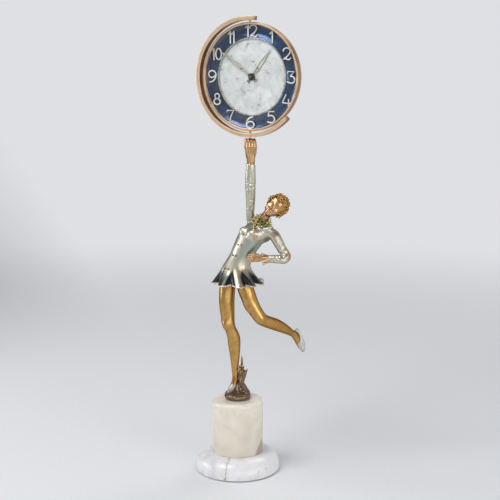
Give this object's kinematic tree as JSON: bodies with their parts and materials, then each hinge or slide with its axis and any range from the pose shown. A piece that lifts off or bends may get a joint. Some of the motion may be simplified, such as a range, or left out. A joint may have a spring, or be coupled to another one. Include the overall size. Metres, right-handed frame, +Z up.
{
  "type": "figural table clock",
  "caption": "Figural table clock: a cast dancer on a stone base holds up a crescent frame in which a round wind-up clock swivels.",
  "frame": {"origin": "centre of the felt underside that the base stands on", "axes": "+Z up, the dial faces -Y, +X to the right of someone who looks straight at the dial"},
  "size_m": [0.1287, 0.1278, 0.5329],
  "materials": {
    "felt": "felt",
    "marble": "polished",
    "alabaster": "polished",
    "steel": "satin",
    "brown_patina": "cold painted",
    "gold_paint": "cold painted",
    "silver_paint": "cold painted",
    "green_gold": "cold painted",
    "gilt": "gilt",
    "brass": "satin",
    "blue_lacquer": "gloss",
    "silvered": "silvered",
    "glass": "clear"
  },
  "bodies": {
    "stand": {"base_felt": "felt", "marble_foot": "marble", "alabaster_drum": "alabaster", "tie_washer": "steel", "tie_nut": "steel", "tie_rod": "steel", "mound": "brown_patina", "standing_leg": "gold_paint", "raised_leg": "gold_paint", "dress": "silver_paint", "head": "gold_paint", "collar_ruff": "green_gold", "raised_arm": "silver_paint", "bent_arm": "silver_paint", "crescent_frame": "gilt", "top_pivot_screw": "brass", "bottom_pivot_stud": "brass"},
    "clock": {"case_pan": "gilt", "bezel": "gilt", "glass": "glass", "chapter_ring": "blue_lacquer", "dial_plate": "silvered", "dial_rim": "gilt", "front_plate": "brass", "back_plate": "brass", "pillar_1": "brass", "pillar_2": "brass", "pillar_3": "brass", "pillar_4": "brass", "hairspring": "steel", "back_cover": "gilt"},
    "minute_chain": {"centre_arbor": "steel", "set_knob": "brass", "cannon_pinion": "steel", "minute_hand": "gilt", "hand_nut": "brass"},
    "motion_wheel": {"minute_wheel": "brass"},
    "hour_chain": {"hour_wheel": "brass", "hour_hand": "gilt"},
    "winder": {"barrel_arbor": "steel", "ratchet_wheel": "steel", "winding_key": "brass"},
    "click": {"click": "steel"},
    "barrel": {"barrel": "brass", "barrel_cover": "brass", "mainspring": "steel"},
    "centre": {"centre_wheel": "brass"},
    "third": {"third_wheel": "brass"},
    "fourth": {"fourth_wheel": "brass"},
    "escape": {"escape_wheel": "brass"},
    "pallets": {"pallet_lever": "steel"},
    "balance": {"balance_wheel": "brass"}
  },
  "joints": [
    {"name": "clock_swivel", "type": "hinge", "parent": "stand", "child": "clock", "pos_m": [0.01342, 0.00714, 0.4646], "axis": [0, 0, 1], "continuous": true},
    {"name": "minute_turn", "type": "hinge", "parent": "clock", "child": "minute_chain", "pos_m": [0.01342, 0.00714, 0.4646], "axis": [0, 1, 0], "continuous": true},
    {"name": "motion_wheel_turn", "type": "hinge", "parent": "clock", "child": "motion_wheel", "pos_m": [0.00214, 0.00714, 0.4605], "axis": [0, 1, 0], "continuous": true},
    {"name": "hour_turn", "type": "hinge", "parent": "clock", "child": "hour_chain", "pos_m": [0.01342, 0.00714, 0.4646], "axis": [0, 1, 0], "continuous": true},
    {"name": "key_wind", "type": "hinge", "parent": "clock", "child": "winder", "pos_m": [0.00105, 0.00714, 0.47697], "axis": [0, -1, 0], "range_deg": [0, 1440]},
    {"name": "click_rock", "type": "hinge", "parent": "clock", "child": "click", "pos_m": [-0.00183, 0.00714, 0.46908], "axis": [0, 1, 0], "range_deg": [0, 12], "stiffness_Nm_per_rad": 0.00001},
    {"name": "barrel_turn", "type": "hinge", "parent": "clock", "child": "barrel", "pos_m": [0.00105, 0.00714, 0.47697], "axis": [0, 1, 0], "continuous": true},
    {"name": "centre_turn", "type": "hinge", "parent": "clock", "child": "centre", "pos_m": [0.01342, 0.00714, 0.4646], "axis": [0, 1, 0], "continuous": true},
    {"name": "third_turn", "type": "hinge", "parent": "clock", "child": "third", "pos_m": [0.02051, 0.00714, 0.45232], "axis": [0, 1, 0], "continuous": true},
    {"name": "fourth_turn", "type": "hinge", "parent": "clock", "child": "fourth", "pos_m": [0.03086, 0.00714, 0.46101], "axis": [0, 1, 0], "continuous": true},
    {"name": "escape_turn", "type": "hinge", "parent": "clock", "child": "escape", "pos_m": [0.02671, 0.00714, 0.47243], "axis": [0, 1, 0], "continuous": true},
    {"name": "pallet_rock", "type": "hinge", "parent": "clock", "child": "pallets", "pos_m": [0.03091, 0.00714, 0.4797], "axis": [0, 1, 0], "range_deg": [-4, 4]},
    {"name": "balance_swing", "type": "hinge", "parent": "clock", "child": "balance", "pos_m": [0.02621, 0.00714, 0.48784], "axis": [0, 1, 0], "range_deg": [-135, 135], "stiffness_Nm_per_rad": 0.000006}
  ],
  "couplings": [
    {"joint": "motion_wheel_turn", "follows": "minute_turn", "ratio": -0.33333},
    {"joint": "hour_turn", "follows": "minute_turn", "ratio": 0.083333},
    {"joint": "third_turn", "follows": "fourth_turn", "ratio": -0.13333},
    {"joint": "centre_turn", "follows": "fourth_turn", "ratio": 0.016667},
    {"joint": "barrel_turn", "follows": "fourth_turn", "ratio": -0.0027778},
    {"joint": "escape_turn", "follows": "fourth_turn", "ratio": -8}
  ]
}
